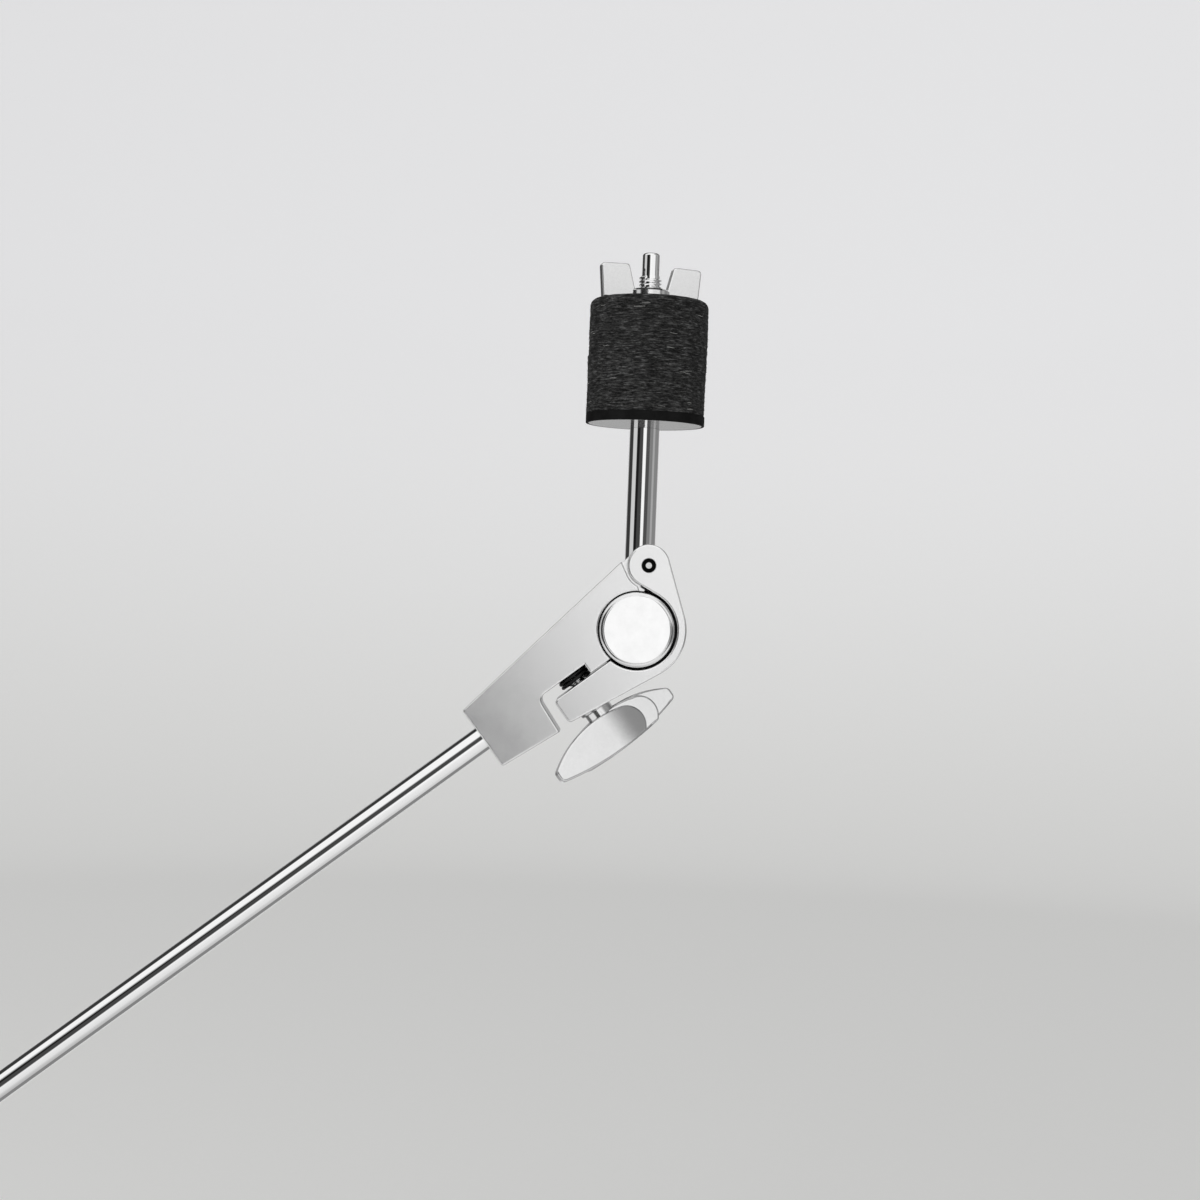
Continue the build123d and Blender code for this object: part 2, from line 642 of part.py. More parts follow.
def nut_ear(side):
    """One ear of the wing nut: side is 1 for the right one, -1 for the left one."""
    outline = [
        EAR_FOOT_IN,
        EAR_FOOT_OUT,
        EAR_TOP_OUT,
        EAR_TOP_IN,
        EAR_ROOT,
        (EAR_FOOT_IN[0], EAR_ROOT[1]),
    ]
    with BuildSketch(EARS.offset(-NUT_EAR_HALF)) as shape:
        with BuildLine():
            Polyline(*[(side * x, z) for x, z in outline], close=True)
        make_face()
        tops = shape.vertices().sort_by(Axis.Y)[-2:]
        root = shape.vertices().sort_by_distance((side * EAR_ROOT[0], EAR_ROOT[1]))[:1]
        fillet(tops + root, EAR_CORNER)
    ear = extrude(shape.sketch, amount=2 * NUT_EAR_HALF)
    for depth in (-NUT_EAR_HALF, NUT_EAR_HALF):
        level = EARS.offset(depth)
        rim = ear.edges().filter_by(lambda e: abs(level.to_local_coords(e @ 0.5).Z) < 1e-4)
        ear = fillet(rim, NUT_EDGE)
    return ear


nut_ears = [nut_ear(-1), nut_ear(1)]
with BuildPart() as wing_nut:
    bar(POST, nut_bottom, HUB_TOP, HUB_R)
    chamfer(rims(POST, HUB_TOP, HUB_R), 0.7)
    add(nut_ears)
    bar(POST, nut_bottom, EAR_TOP_IN[1], STUD_R + RUNNING_GAP, Mode.SUBTRACT)
save(wing_nut.part, "wing_nut")
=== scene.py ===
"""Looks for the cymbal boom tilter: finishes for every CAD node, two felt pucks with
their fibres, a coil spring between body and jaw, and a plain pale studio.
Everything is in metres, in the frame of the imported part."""

import json
import math

import bpy
import numpy as np
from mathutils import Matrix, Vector


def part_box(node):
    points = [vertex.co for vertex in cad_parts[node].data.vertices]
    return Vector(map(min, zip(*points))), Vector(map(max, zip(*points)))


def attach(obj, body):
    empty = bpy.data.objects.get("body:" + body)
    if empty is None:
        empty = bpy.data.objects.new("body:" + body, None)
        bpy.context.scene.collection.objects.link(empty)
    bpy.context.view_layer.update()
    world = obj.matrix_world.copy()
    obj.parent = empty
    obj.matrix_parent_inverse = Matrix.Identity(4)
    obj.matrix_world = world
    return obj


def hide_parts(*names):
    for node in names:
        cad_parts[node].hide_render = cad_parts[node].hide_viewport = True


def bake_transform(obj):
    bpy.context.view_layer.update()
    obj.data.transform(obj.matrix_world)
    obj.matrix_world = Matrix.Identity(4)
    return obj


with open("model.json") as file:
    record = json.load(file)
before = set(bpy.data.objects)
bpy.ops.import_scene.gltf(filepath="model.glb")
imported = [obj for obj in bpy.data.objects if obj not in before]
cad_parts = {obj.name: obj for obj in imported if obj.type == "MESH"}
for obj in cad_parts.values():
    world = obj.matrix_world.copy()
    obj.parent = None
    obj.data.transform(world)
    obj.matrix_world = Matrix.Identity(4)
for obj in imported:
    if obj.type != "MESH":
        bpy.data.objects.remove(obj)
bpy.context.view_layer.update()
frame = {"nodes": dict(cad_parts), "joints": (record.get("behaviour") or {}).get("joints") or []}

MM = 0.001
JOINTS = {joint["name"]: joint for joint in frame["joints"]}
DRUM = Vector(JOINTS["tilt"]["pos_m"])
SCREW_SEAT = Vector(JOINTS["wing_screw_turn"]["pos_m"])
SCREW_AXIS = Vector(JOINTS["wing_screw_turn"]["axis"])
POST = Vector(JOINTS["wing_nut_turn"]["pos_m"])
BOOM_SLOPE = math.radians(38)
ALONG_BOOM = Vector((math.cos(BOOM_SLOPE), 0, math.sin(BOOM_SLOPE)))
ACROSS_BOOM = Vector((-math.sin(BOOM_SLOPE), 0, math.cos(BOOM_SLOPE)))
TOWARDS_VIEWER = Vector((0, -1, 0))

WING_YAW = math.radians(20)
ALONG_WING = ALONG_BOOM * math.cos(WING_YAW) - TOWARDS_VIEWER * math.sin(WING_YAW)
WING_FRONT = TOWARDS_VIEWER * math.cos(WING_YAW) + ALONG_BOOM * math.sin(WING_YAW)
# in millimetres: where along the wing its outer leaves start to fall away, the radius
# they follow, and how far from the wing's middle plane they begin
SWELL_START = -3.0
SWELL_RADIUS = 38.0
OUTER_LEAF = 3.0

# ---------------------------------------------------------------- shader helpers


class Shader:
    """Adds nodes to one node tree. An input may be a number, a colour or another output."""

    def __init__(self, tree):
        self.tree = tree
        tree.nodes.clear()

    def add(self, kind, inputs=None, out=0, **settings):
        """A new node's output, or the node itself if it has none."""
        node = self.tree.nodes.new(kind)
        for name, value in settings.items():
            setattr(node, name, value)
        for key, value in (inputs or {}).items():
            socket = node.inputs[key]
            if isinstance(value, bpy.types.NodeSocket):
                self.tree.links.new(value, socket)
            else:
                socket.default_value = value
        return node.outputs[out] if len(node.outputs) else node

    def math(self, operation, a, b=0.0):
        return self.add("ShaderNodeMath", {0: a, 1: b}, operation=operation)

    def smooth(self, value, low, high, start=0.0, end=1.0):
        """value goes smoothly from start to end as it passes from low to high."""
        return self.add(
            "ShaderNodeMapRange",
            {0: value, 1: low, 2: high, 3: start, 4: end},
            interpolation_type="SMOOTHSTEP",
        )

    def window(self, value, rise, fall):
        """1 between two smooth edges, each given as (low, high), and 0 outside them."""
        rising = self.smooth(value, *rise)
        return self.math("MULTIPLY", rising, self.smooth(value, *fall, 1.0, 0.0))

    def measure(self, operation, a, b=None):
        """A number from vectors: DOT_PRODUCT or LENGTH."""
        inputs = {0: a} if b is None else {0: a, 1: tuple(b)}
        return self.add("ShaderNodeVectorMath", inputs, 1, operation=operation)

    def from_point(self, rest, point):
        """The vector to each place from a point."""
        inputs = {0: rest, 1: tuple(point)}
        return self.add("ShaderNodeVectorMath", inputs, operation="SUBTRACT")

    def blend(self, share, a, b):
        """a where share is 0 and b where it is 1, for numbers."""
        return self.add("ShaderNodeMix", {0: share, 2: a, 3: b})

    def tint(self, share, a, b, blend_type="MIX"):
        """a where share is 0 and b where it is 1, for colours."""
        inputs = {0: share, 6: a, 7: b}
        return self.add("ShaderNodeMix", inputs, 2, data_type="RGBA", blend_type=blend_type)

    def ramp(self, value, stops):
        """A colour ramp over 0..1 from (place, grey or colour) stops."""
        output = self.add("ShaderNodeValToRGB", {0: value})
        ramp = output.node.color_ramp
        while len(ramp.elements) < len(stops):
            ramp.elements.new(0.5)
        for element, (place, colour) in zip(ramp.elements, stops):
            element.position = place
            element.color = rgb(colour)
        return output

    def noise(self, vector, size_mm, detail, roughness, distortion=0.0):
        """Noise of about 0..1 with features of a size in millimetres."""
        inputs = {
            "Vector": vector,
            "Scale": 1 / (size_mm * MM),
            "Detail": detail,
            "Roughness": roughness,
            "Distortion": distortion,
        }
        return self.add("ShaderNodeTexNoise", inputs)

    def bump(self, height, depth_mm, strength=1.0, normal=None):
        """The normal over a height, on top of another normal if one is given."""
        inputs = {"Height": height, "Distance": depth_mm * MM, "Strength": strength}
        if normal is not None:
            inputs["Normal"] = normal
        return self.add("ShaderNodeBump", inputs)

    def place(self, stretch=(1, 1, 1), turn=(0, 0, 0)):
        """Rest coordinates of the piece, turned and stretched."""
        rest = self.add("ShaderNodeTexCoord", out=3)
        inputs = {"Vector": rest, "Rotation": turn, "Scale": stretch}
        return self.add("ShaderNodeMapping", inputs)

    def edges(self, width_mm):
        """1 on sharp or tightly rounded edges and 0 on open faces."""
        rounded = self.add("ShaderNodeBevel", {"Radius": width_mm * MM}, samples=6)
        true = self.add("ShaderNodeNewGeometry", out=1)
        inputs = {0: rounded, 1: true}
        facing = self.add("ShaderNodeVectorMath", inputs, 1, operation="DOT_PRODUCT")
        return self.smooth(facing, 0.995, 0.90)

    def surface(self, **inputs):
        """The material's output, with inputs named as in the Principled shader."""
        named = {name.replace("_", " ").title(): value for name, value in inputs.items()}
        named = {name.replace("Ior", "IOR"): value for name, value in named.items()}
        bsdf = self.add("ShaderNodeBsdfPrincipled", named)
        self.add("ShaderNodeOutputMaterial", {"Surface": bsdf})


def rgb(colour):
    """RGBA from a grey level or a colour, in linear light."""
    if isinstance(colour, (int, float)):
        return (colour, colour, colour, 1)
    return (*colour[:3], 1)


def material(name):
    made = bpy.data.materials.new(name)
    made.use_nodes = True
    return made, Shader(made.node_tree)


def paint(node_name, made):
    """Gives a CAD node one material, on every slot it has."""
    mesh = frame["nodes"][node_name].data
    mesh.materials.clear()
    mesh.materials.append(made)


# ---------------------------------------------------------------- finishes


def cast_finish(name, tone, roughness, grain_mm, grain_depth_mm, edge_shade_change, dished=False):
    """Satin or polished chrome on a die casting: fine grain, cloudy gloss, and painted shade along
    the edges.
    """
    made, s = material(name)
    rest = s.place()
    grain = s.noise(rest, grain_mm, 6, 0.65)
    cloud = s.noise(rest, 9, 3, 0.5)
    fine = s.noise(rest, 0.9, 5, 0.6)
    edge = s.edges(0.45)
    shade = s.ramp(cloud, [(0.3, tone * 0.955), (0.7, tone)])
    speck = s.ramp(fine, [(0.35, 0.965), (0.65, 1.0)])
    colour = s.tint(1.0, shade, speck, "MULTIPLY")
    # painted shade: the colour is darker along the edges, drawing dark lines round them
    colour = s.tint(edge, colour, rgb(tone + edge_shade_change))
    gloss = s.smooth(cloud, 0.3, 0.7, roughness * 0.93, roughness * 1.08)
    gloss = s.math("ADD", gloss, s.smooth(grain, 0.3, 0.7, -0.03, 0.03))
    gloss = s.blend(edge, gloss, roughness * 0.6)
    normal = s.bump(grain, grain_depth_mm, 1.0)
    if dished:
        normal = s.bump(leaf_swell(s, rest), 1.0, 1.0, normal)
    s.surface(base_color=colour, metallic=1.0, roughness=gloss, normal=normal)
    return made


def leaf_swell(s, rest):
    """Height in millimetres of the wing's outer leaves, which fall away at their round ends."""
    offset = s.from_point(rest, SCREW_SEAT)
    along = s.measure("DOT_PRODUCT", offset, ALONG_WING)
    depth = s.measure("DOT_PRODUCT", offset, WING_FRONT)
    mirrored = s.math("DIVIDE", s.math("MULTIPLY", along, s.math("SIGN", depth)), MM)
    past = s.math("MAXIMUM", s.math("SUBTRACT", mirrored, SWELL_START), 0.0)
    drop = s.math("DIVIDE", s.math("MULTIPLY", past, past), -2 * SWELL_RADIUS)
    outer = s.math("GREATER_THAN", s.math("ABSOLUTE", depth), OUTER_LEAF * MM)
    return s.math("MULTIPLY", drop, outer)


def rod_finish(name, tone, roughness, turn):
    """Polished chrome plate on a drawn rod, with hairlines along it and faint clouding.
    turn brings the rod's axis to Z, along which the noise is stretched."""
    made, s = material(name)
    along = s.place((1, 1, 0.02), turn)
    rest = s.place()
    hairline = s.noise(along, 0.16, 5, 0.6)
    cloud = s.noise(rest, 6, 4, 0.55)
    colour = s.ramp(cloud, [(0.3, tone * 0.97), (0.7, tone)])
    gloss = s.smooth(cloud, 0.35, 0.75, roughness, roughness * 2.1)
    gloss = s.math("ADD", gloss, s.smooth(hairline, 0.55, 0.8, 0.0, 0.05))
    normal = s.bump(hairline, 0.0006, 0.6)
    s.surface(base_color=colour, metallic=1.0, roughness=gloss, normal=normal)
    return made


def turned_finish(name, tone, roughness, centre, axis, ring_mm=0.12, depth_mm=0.0012):
    """Turned metal of a grey level or a colour: fine rings round an axis, with cloudy gloss and a
    painted highlight along the edges.
    """
    made, s = material(name)
    rest = s.place()
    offset = s.from_point(rest, centre)
    inputs = {0: offset, 1: tuple(axis)}
    across = s.add("ShaderNodeVectorMath", inputs, operation="CROSS_PRODUCT")
    radius = s.measure("LENGTH", across)
    height = s.measure("DOT_PRODUCT", offset, axis)
    rings = s.add("ShaderNodeCombineXYZ", {0: radius, 1: height, 2: 0.0})
    groove = s.noise(rings, ring_mm, 4, 0.7)
    cloud = s.noise(rest, 5, 4, 0.55)
    base = rgb(tone)[:3]
    dark = tuple(0.93 * c for c in base)
    # painted highlight: this lighter colour is laid along the edges below
    light = tuple(min(1.0, c + 0.1) for c in base)
    colour = s.ramp(cloud, [(0.3, dark), (0.7, base)])
    colour = s.tint(s.edges(0.3), colour, rgb(light))
    gloss = s.smooth(groove, 0.3, 0.7, roughness * 0.85, roughness * 1.2)
    normal = s.bump(groove, depth_mm, 0.7)
    s.surface(base_color=colour, metallic=1.0, roughness=gloss, normal=normal)
    return made


def pin_head_finish(name, centre, boss_mm, groove_mm):
    """A turned pin's head, seen along Y: a bright boss inside a groove painted near black as
    shade. The sizes are the radii at which the boss and the groove end."""
    made, s = material(name)
    rest = s.place()
    inputs = {0: s.from_point(rest, centre), 1: (1, 0, 1)}
    flat = s.add("ShaderNodeVectorMath", inputs, operation="MULTIPLY")
    radius = s.measure("LENGTH", flat)
    radius_mm = s.math("DIVIDE", radius, MM)
    groove = s.window(
        radius_mm, (boss_mm - 0.1, boss_mm + 0.1), (groove_mm - 0.15, groove_mm + 0.15)
    )
    rings = s.noise(s.add("ShaderNodeCombineXYZ", {0: radius}), 0.12, 4, 0.7)
    bright = s.ramp(s.noise(rest, 2, 4, 0.6), [(0.3, 0.66), (0.7, 0.78)])
    # painted shade: the ring between the boss and the groove's edge is coloured near black
    colour = s.tint(groove, bright, rgb(0.012))
    gloss = s.blend(groove, s.smooth(rings, 0.3, 0.7, 0.18, 0.26), 0.6)
    normal = s.bump(rings, 0.0012, 0.7)
    s.surface(base_color=colour, metallic=1.0, roughness=gloss, normal=normal)
    return made


def moulded_finish(name, colour, roughness, grain_mm, depth_mm, lift=1.6, shine=0.3):
    """Moulded plastic or rubber: matt grain, with clouds of dust lift times as pale."""
    made, s = material(name)
    rest = s.place()
    grain = s.noise(rest, grain_mm, 6, 0.6)
    cloud = s.noise(rest, 4, 4, 0.6)
    dusty = tuple(c * lift + 0.004 for c in colour)
    base = s.ramp(cloud, [(0.35, colour), (0.75, dusty)])
    gloss = s.smooth(grain, 0.3, 0.7, roughness * 0.9, min(1.0, roughness * 1.12))
    normal = s.bump(grain, depth_mm, 0.8)
    s.surface(base_color=base, roughness=gloss, normal=normal, specular_ior_level=shine)
    return made


def felt_finish(name):
    """Pressed charcoal wool: mottled layers that run round the puck, with flecks, pits
    painted dark as shade, pale hairs, and a soft sheen."""
    made, s = material(name)
    layers = s.noise(s.place((1, 1, 6.0)), 3.0, 5, 0.66, 0.4)
    flecks = s.noise(s.place((1, 1, 2.4)), 0.9, 5, 0.7)
    hairs = s.noise(s.place((1, 1, 9)), 0.75, 3, 0.6, 0.6)
    mottle = s.noise(s.place(), 5, 3, 0.6)
    layer_stops = [(0.40, 0.007), (0.49, 0.024), (0.56, 0.060), (0.65, 0.15)]
    layer_tone = s.ramp(layers, layer_stops)
    fleck_tone = s.ramp(flecks, [(0.55, 0.0), (0.68, 0.8)])
    colour = s.tint(fleck_tone, layer_tone, rgb((0.085, 0.085, 0.08)))
    # painted shade: near black in the pits, the low places of the flecks' bump
    pit_shade = s.ramp(flecks, [(0.36, 1.0), (0.46, 0.0)])
    colour = s.tint(pit_shade, colour, rgb(0.008))
    hair_tone = s.ramp(hairs, [(0.62, 0.0), (0.73, 1.0)])
    colour = s.tint(hair_tone, colour, rgb((0.17, 0.17, 0.165)))
    colour = s.tint(1.0, colour, s.ramp(mottle, [(0.3, 0.60), (0.7, 1.10)]), "MULTIPLY")
    layered = s.bump(layers, 0.35, 0.7)
    normal = s.bump(flecks, 0.20, 0.8, layered)
    s.surface(
        base_color=colour,
        roughness=0.96,
        normal=normal,
        sheen_weight=0.03,
        specular_ior_level=0.12,
    )
    return made


def fibre_finish(name):
    """Loose wool fibres; each one's own shade comes with its mesh."""
    made, s = material(name)
    shade = s.add("ShaderNodeAttribute", attribute_name="shade", out=2)
    rest = s.place()
    along = s.noise(rest, 0.8, 3, 0.6)
    tone = s.math("MULTIPLY", shade, s.smooth(along, 0.3, 0.7, 0.75, 1.15))
    colour = s.add("ShaderNodeCombineColor", {0: tone, 1: tone, 2: s.math("MULTIPLY", tone, 0.965)})
    normal = s.bump(along, 0.02, 0.5)
    s.surface(base_color=colour, roughness=0.7, normal=normal, specular_ior_level=0.25)
    return made


def spring_finish(name):
    """Black oxide spring wire with drawing marks and a light oil film."""
    made, s = material(name)
    rest = s.place()
    mark = s.noise(rest, 0.25, 5, 0.65)
    patches = s.noise(rest, 1.6, 4, 0.6)
    worn = s.ramp(patches, [(0.55, 0.006), (0.8, (0.03, 0.029, 0.028))])
    gloss = s.smooth(mark, 0.3, 0.7, 0.30, 0.48)
    normal = s.bump(mark, 0.006, 0.6)
    s.surface(base_color=worn, metallic=0.0, roughness=gloss, normal=normal, specular_ior_level=0.3)
    return made


satin = cast_finish("satin_chrome_casting", 0.93, 0.20, 0.22, 0.0030, -0.4)
polished = cast_finish("polished_chrome_casting", 0.87, 0.15, 0.30, 0.0016, -0.5)
winged = cast_finish("wing_screw_casting", 0.84, 0.15, 0.30, 0.0016, -0.4, dished=True)
boom_chrome = rod_finish("boom_rod_chrome", 0.93, 0.035, (0, BOOM_SLOPE - math.radians(90), 0))
post_chrome = rod_finish("tilter_rod_chrome", 0.93, 0.03, (0, 0, 0))
steel = turned_finish("plain_turned_steel", 0.66, 0.28, DRUM, TOWARDS_VIEWER)
hinge_steel = pin_head_finish("hinge_pin_steel", JOINTS["jaw_open"]["pos_m"], 1.05, 2.5)
screw_steel = turned_finish("wing_screw_steel", 0.70, 0.22, SCREW_SEAT, SCREW_AXIS)
drum_metal = turned_finish("drum_turned_steel", 0.84, 0.14, DRUM, TOWARDS_VIEWER)
cap_metal = turned_finish("drum_cap_mirror", 0.97, 0.03, DRUM, TOWARDS_VIEWER, 0.25, 0.0001)
brass = turned_finish("insert_brass", (0.72, 0.53, 0.25), 0.25, SCREW_SEAT, SCREW_AXIS)
seat_metal = turned_finish("seat_disc_steel", 0.78, 0.16, POST, (0, 0, 1))
liner = moulded_finish("friction_liner", (0.012, 0.012, 0.012), 0.55, 0.3, 0.01)
nylon = moulded_finish("pale_nylon", (0.42, 0.42, 0.40), 0.4, 0.4, 0.006, 1.1)
rubber = moulded_finish("seat_rubber_black", (0.005, 0.005, 0.005), 0.7, 0.25, 0.012, shine=0.1)
sleeve = moulded_finish("black_nylon_sleeve", (0.016, 0.016, 0.016), 0.4, 0.3, 0.006)

FINISHES = {
    satin: ("clamp_body", "clamp_jaw", "rod_head"),
    polished: ("wing_nut",),
    winged: ("wing_screw",),
    boom_chrome: ("boom_rod",),
    post_chrome: ("tilter_rod",),
    steel: ("boom_rod_pin", "tilter_rod_pin", "drum_bolt", "drum_dowel"),
    hinge_steel: ("hinge_pin",),
    screw_steel: ("wing_screw_washer", "wing_screw_stud"),
    drum_metal: ("tilt_drum",),
    cap_metal: ("drum_cap",),
    brass: ("screw_insert",),
    seat_metal: ("seat_disc",),
    liner: ("body_liner", "jaw_liner"),
    nylon: ("thrust_washer",),
    rubber: ("seat_rubber",),
    sleeve: ("cymbal_sleeve",),
}
for finish, names in FINISHES.items():
    for node_name in names:
        paint(node_name, finish)

# ---------------------------------------------------------------- meshes in code


def mesh_object(name, points, faces, made, shade=None):
    """A smooth-shaded mesh piece from an array of points and a list of faces."""
    mesh = bpy.data.meshes.new(name)
    mesh.from_pydata(points.tolist(), [], faces)
    mesh.polygons.foreach_set("use_smooth", [True] * len(mesh.polygons))
    if shade is not None:
        attribute = mesh.attributes.new("shade", "FLOAT", "POINT")
        attribute.data.foreach_set("value", shade.astype(np.float32))
    mesh.materials.append(made)
    mesh.update()
    made_object = bpy.data.objects.new(name, mesh)
    bpy.context.scene.collection.objects.link(made_object)
    return made_object


def grid_faces(rows, columns, wrap_rows=False):
    """Quads between rings of points: columns always wrap, rows wrap if asked."""
    row = np.arange(rows if wrap_rows else rows - 1)[:, None]
    column = np.arange(columns)[None, :]
    after_row = (row + 1) % rows
    after_column = (column + 1) % columns
    corners = [
        row * columns + column,
        row * columns + after_column,
        after_row * columns + after_column,
        after_row * columns + column,
    ]
    return np.stack([np.broadcast_to(c, (len(row), columns)).ravel() for c in corners], axis=1)


def ring_noise(rng, turn, rise, around, up):
    """Smooth noise of -1..1 over turn (0..1, which wraps) and rise (0..1), with a given
    number of cells around and up."""
    lattice = rng.uniform(-1, 1, (up + 2, around))
    x, y = turn * around, rise * up
    column, row = np.floor(x).astype(int), np.floor(y).astype(int)
    fx, fy = x - column, y - row
    fx, fy = fx * fx * (3 - 2 * fx), fy * fy * (3 - 2 * fy)
    left, right = column % around, (column + 1) % around
    low = lattice[row, left] * (1 - fx) + lattice[row, right] * fx
    high = lattice[row + 1, left] * (1 - fx) + lattice[row + 1, right] * fx
    return low * (1 - fy) + high * fy


FELT_COLUMNS = 540
FELT_STEP = 0.22 * MM
FELT_BORE = 6.25 * MM


def felt_profile(bore, radius, bottom, top, bottom_round, top_round):
    """The puck's closed outline as rows of (radius, height, normal r, normal z, roughness),
    where roughness is the share of the felt's unevenness that a row takes."""
    corners = []

    def run(start, end, normal, rough, step=FELT_STEP):
        count = max(2, int(math.dist(start, end) / step))
        for i in range(count):
            share = i / count
            r = start[0] + (end[0] - start[0]) * share
            z = start[1] + (end[1] - start[1]) * share
            corners.append((r, z, *normal, rough))

    def turn(centre, size, first, last, rough):
        count = max(3, int(size * math.radians(abs(last - first)) / FELT_STEP))
        for i in range(count):
            angle = math.radians(first + (last - first) * i / count)
            r, z = math.cos(angle), math.sin(angle)
            corners.append((centre[0] + size * r, centre[1] + size * z, r, z, rough))

    run((bore, bottom), (radius - bottom_round, bottom), (0, -1), 0.15, 4 * FELT_STEP)
    turn((radius - bottom_round, bottom + bottom_round), bottom_round, -90, 0, 0.8)
    run((radius, bottom + bottom_round), (radius, top - top_round), (1, 0), 1.0)
    turn((radius - top_round, top - top_round), top_round, 0, 90, 1.0)
    run((radius - top_round, top), (bore, top), (0, 1), 0.35, 2 * FELT_STEP)
    run((bore, top), (bore, bottom), (-1, 0), 0.1, 3 * FELT_STEP)
    return np.array(corners)


def felt_puck(name, node_name, body, made, seed, bottom_round, top_round, flare):
    """A pressed felt puck in place of its CAD ring, with uneven layered sides. Its edges'
    rounding and the flare at its top are in millimetres."""
    low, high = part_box(node_name)
    centre = (low + high) / 2
    radius = (high.x - low.x) / 2
    rows = felt_profile(FELT_BORE, radius, low.z, high.z, bottom_round * MM, top_round * MM)
    rng = np.random.default_rng(seed)
    steps = np.hypot(np.diff(rows[:, 0]), np.diff(rows[:, 1]))
    along = np.concatenate([[0], np.cumsum(steps)])
    rise = (along / (along[-1] + FELT_STEP))[:, None] * np.ones(FELT_COLUMNS)
    turn = np.ones(len(rows))[:, None] * (np.arange(FELT_COLUMNS) / FELT_COLUMNS)
    length_mm = along[-1] / MM
    layers = ring_noise(rng, turn, rise, 60, int(length_mm / 0.55))
    strands = ring_noise(rng, turn, rise, 170, int(length_mm / 0.30))
    lumps = ring_noise(rng, turn, rise, 13, int(length_mm / 7))
    sway = ring_noise(rng, turn, rise, 5, int(length_mm / 20))
    height = (rows[:, 1] - low.z) / (high.z - low.z)
    flared = flare * np.clip(height, 0, 1)[:, None] ** 3 * (rows[:, 2] > 0.5)[:, None]
    # in millimetres, and drawn in a little so that the puck keeps close to its CAD ring
    offset = 0.085 * layers + 0.05 * strands + 0.13 * lumps + 0.14 * sway - 0.12
    offset = (offset * rows[:, 4:5] + flared) * MM
    angle = turn * 2 * math.pi
    r = rows[:, 0:1] + rows[:, 2:3] * offset
    z = rows[:, 1:2] + rows[:, 3:4] * offset
    points = np.stack([centre.x + r * np.cos(angle), centre.y + r * np.sin(angle), z], axis=-1)
    faces = grid_faces(len(rows), FELT_COLUMNS, wrap_rows=True).tolist()
    puck = mesh_object(name, points.reshape(-1, 3), faces, made)
    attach(puck, body)
    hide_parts(node_name)
    side = np.flatnonzero((rows[:, 2] > 0.999) & (rows[:, 4] > 0.99))
    return {"centre": centre, "radius": r, "z": z, "side": side}


def tube_points(path, side, other, size, sides):
    """Rings of points round a path, in the plane of two directions at each of its points."""
    loops = []
    for i in range(sides):
        angle = 2 * math.pi * i / sides
        loops.append(path + size * (side * math.cos(angle) + other * math.sin(angle)))
    return np.stack(loops, axis=1).reshape(-1, 3)


def strand_mesh(paths, widths, shades):
    """Three-sided tubes along paths, thinner at both ends: their points, faces and shades."""
    points, faces, tones = [], [], []
    start = 0
    for path, width, shade in zip(paths, widths, shades):
        run = np.gradient(path, axis=0)
        run /= np.linalg.norm(run, axis=1)[:, None]
        side = np.cross(run, (0.31, 0.17, 0.93))
        side /= np.linalg.norm(side, axis=1)[:, None]
        other = np.cross(run, side)
        share = np.linspace(0, 1, len(path))[:, None]
        size = width * (0.35 + 0.65 * np.sin(math.pi * (0.12 + 0.76 * share)))
        block = tube_points(path, side, other, size, 3)
        points.append(block)
        faces.append(grid_faces(len(path), 3) + start)
        tones.append(np.full(len(block), shade))
        start += len(block)
    return np.concatenate(points), np.concatenate(faces).tolist(), np.concatenate(tones)


# Fibres that lie on the felt, in millimetres apart from the wave: the longest one's
# length, how much it waves as a share of that, its lift off the felt and its half width
LYING_FIBRES = {
    "grey": {"longest": 2.6, "wave": 0.03, "lift": 0.03, "width": (0.02, 0.042)},
    "white": {"longest": 4.6, "wave": 0.018, "lift": 0.06, "width": (0.05, 0.075)},
}
GREY_TONES = (0.035, 0.06, 0.10, 0.17)
GREY_SHARES = (0.3, 0.35, 0.25, 0.1)
FIBRE_POINTS = 6


def felt_fibres(name, puck, body, made, seed, grey, standing, white):
    """Loose fibres on a puck's side: grey and white ones lie round it, others stand off it."""
    rng = np.random.default_rng(seed)
    share = np.linspace(0, 1, FIBRE_POINTS)
    paths, widths, shades = [], [], []
    for kind in ["grey"] * grey + ["standing"] * standing + ["white"] * white:
        row = int(rng.choice(puck["side"][4:-4]))
        theta = rng.uniform(0, 2 * math.pi)
        column = int(theta / (2 * math.pi) * FELT_COLUMNS) % FELT_COLUMNS
        radius = puck["radius"][row, column]
        height = puck["z"][row, 0]
        if kind == "standing":
            length = rng.uniform(0.25, 0.75) * MM
            drift = rng.normal(0, 0.45, 2)
            out = radius - 0.05 * MM + length * 0.75 * share * (1 - 0.35 * share)
            angle = theta + drift[0] * length * share**1.5 / radius
            z = height + drift[1] * length * share**1.5
            width = rng.uniform(0.012, 0.022) * MM
            tone = rng.uniform(0.03, 0.12)
        else:
            fibre_kind = LYING_FIBRES[kind]
            length = rng.uniform(0.45, 1.0) * fibre_kind["longest"] * MM
            wave = rng.normal(0, fibre_kind["wave"], 2) * length
            out = radius + (fibre_kind["lift"] + 0.05 * np.sin(math.pi * share)) * MM
            angle = theta + length * (share - 0.5) / radius
            z = height + wave[0] * np.sin(2 * math.pi * share) + wave[1] * 2 * (share - 0.5)
            width = rng.uniform(*fibre_kind["width"]) * MM
            if kind == "white":
                tone = rng.uniform(0.55, 0.85)
            else:
                tone = rng.choice(GREY_TONES, p=GREY_SHARES)
        x = puck["centre"].x + out * np.cos(angle)
        y = puck["centre"].y + out * np.sin(angle)
        paths.append(np.stack([x, y, z], axis=1))
        widths.append(width)
        shades.append(tone)
    points, faces, tones = strand_mesh(paths, widths, shades)
    fibres = mesh_object(name, points, faces, made, tones)
    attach(fibres, body)


